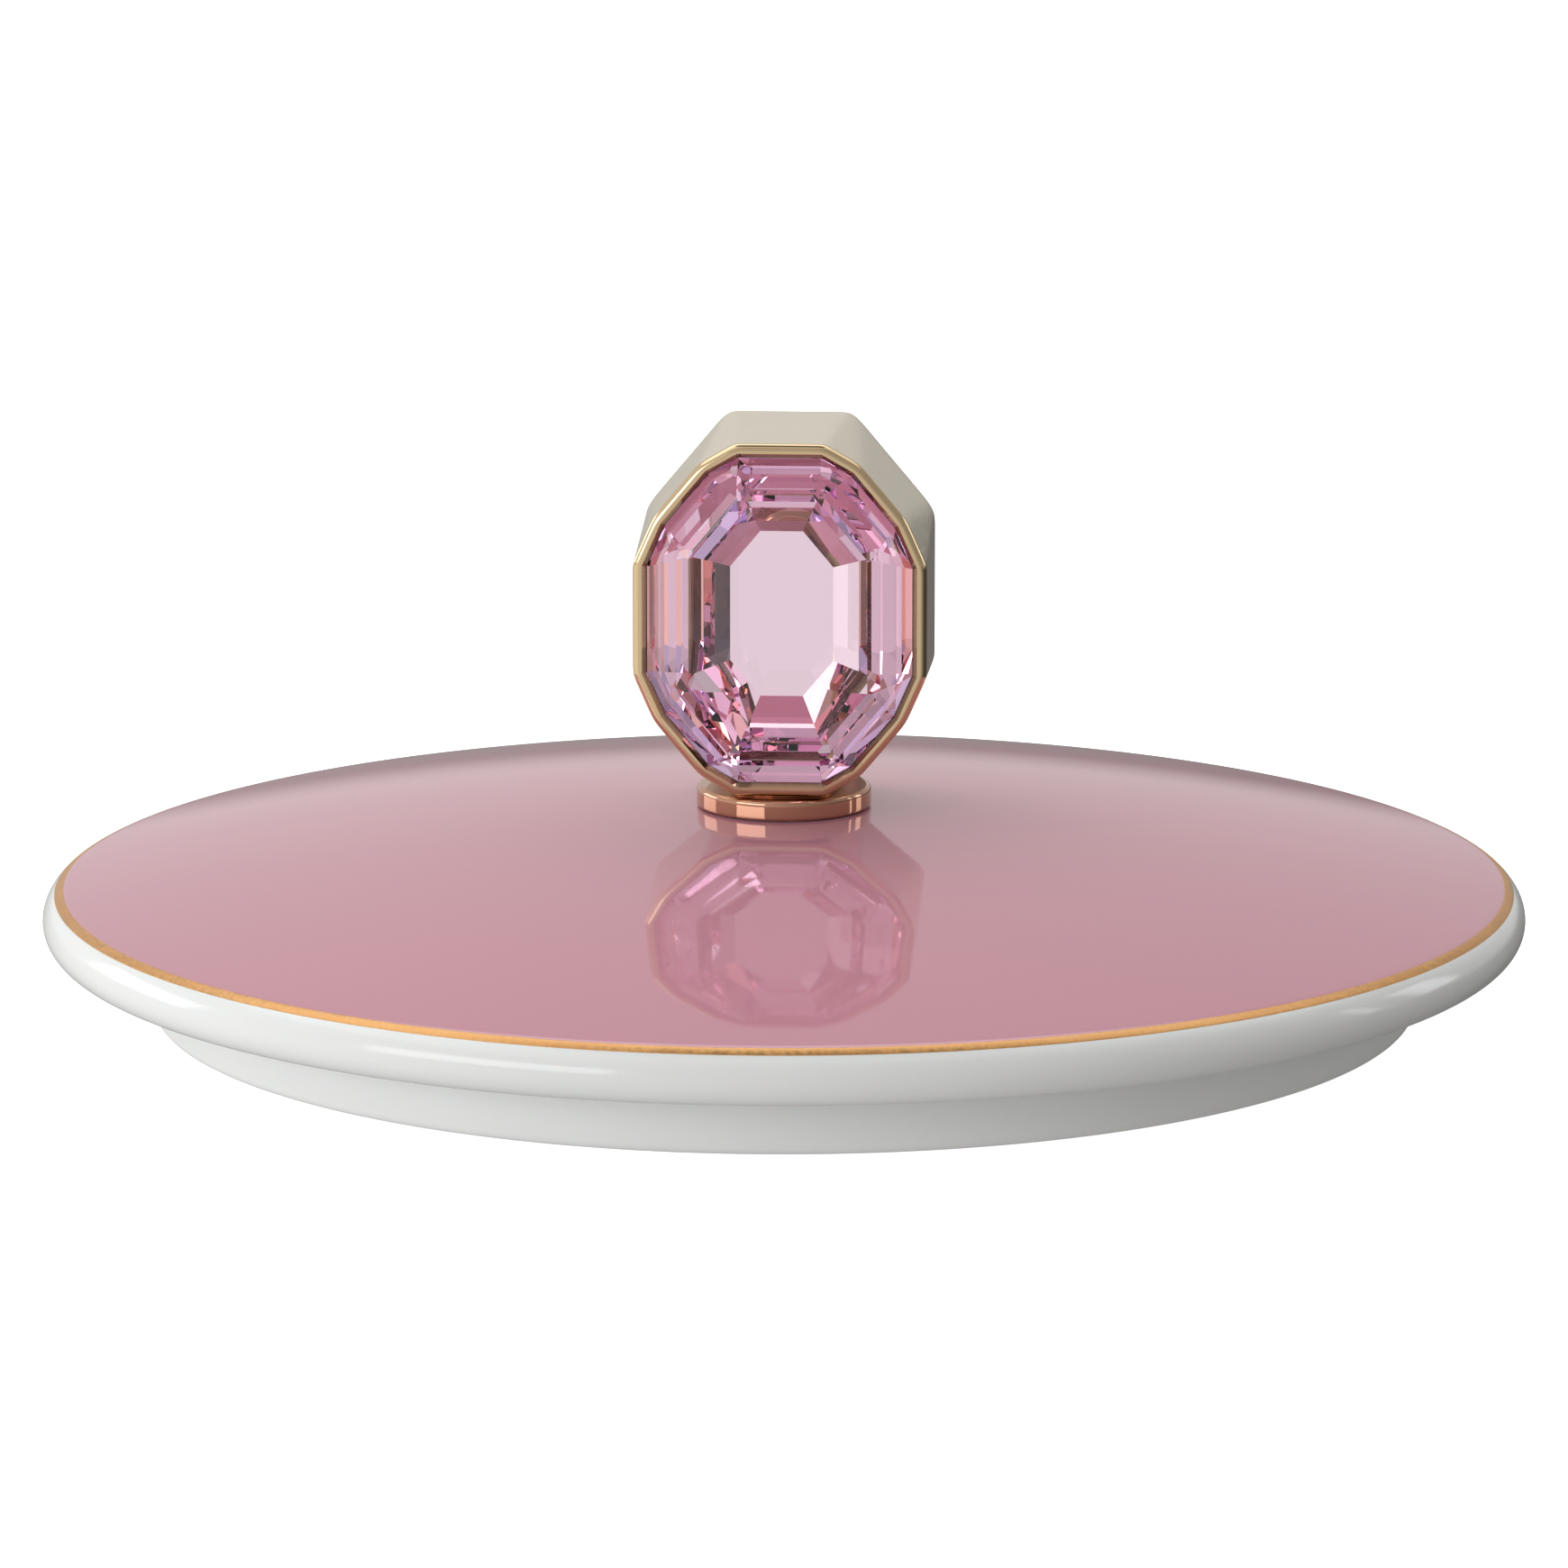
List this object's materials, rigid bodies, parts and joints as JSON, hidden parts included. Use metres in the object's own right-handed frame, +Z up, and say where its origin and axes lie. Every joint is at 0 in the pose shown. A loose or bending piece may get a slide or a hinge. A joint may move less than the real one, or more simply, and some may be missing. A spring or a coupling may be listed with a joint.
{
  "type": "powder jar lid",
  "caption": "Round glazed porcelain powder jar lid with a pink domed top, gold line, locating spigot and a gold knob set with a large step-cut stone.",
  "frame": {"origin": "centre of the spigot's foot, on the lid's axis, in the plane that the lid rests on", "axes": "+Z up along the axis of the lid and the knob, the stone faces -Y, +X to the right seen from the stone side"},
  "size_m": [0.1, 0.1, 0.0394],
  "materials": {
    "porcelain": "smooth clear glaze on white porcelain",
    "pink_glaze": "glossy dusty pink glaze",
    "gold_lustre": "fired gold lustre, slightly granular",
    "pale_gold": "polished pale gold plating",
    "rose_gold": "polished rose gold plating",
    "stone": "polished pink glass crystal",
    "foil": "pink mirror foil",
    "cement": "clear setting cement",
    "clear_silicone": "clear soft disc",
    "plated_steel": "bright plated hardware"
  },
  "bodies": {
    "root": {"porcelain_lid": "porcelain", "pink_glaze_field": "pink_glaze", "gold_line": "gold_lustre", "collar_gasket": "clear_silicone", "knob_collar": "rose_gold", "knob_casing": "pale_gold", "crystal": "stone", "foil_backing": "foil", "setting_cement": "cement", "knob_stud": "plated_steel", "soft_washer": "clear_silicone", "metal_washer": "plated_steel", "clamping_nut": "plated_steel"}
  },
  "joints": []
}
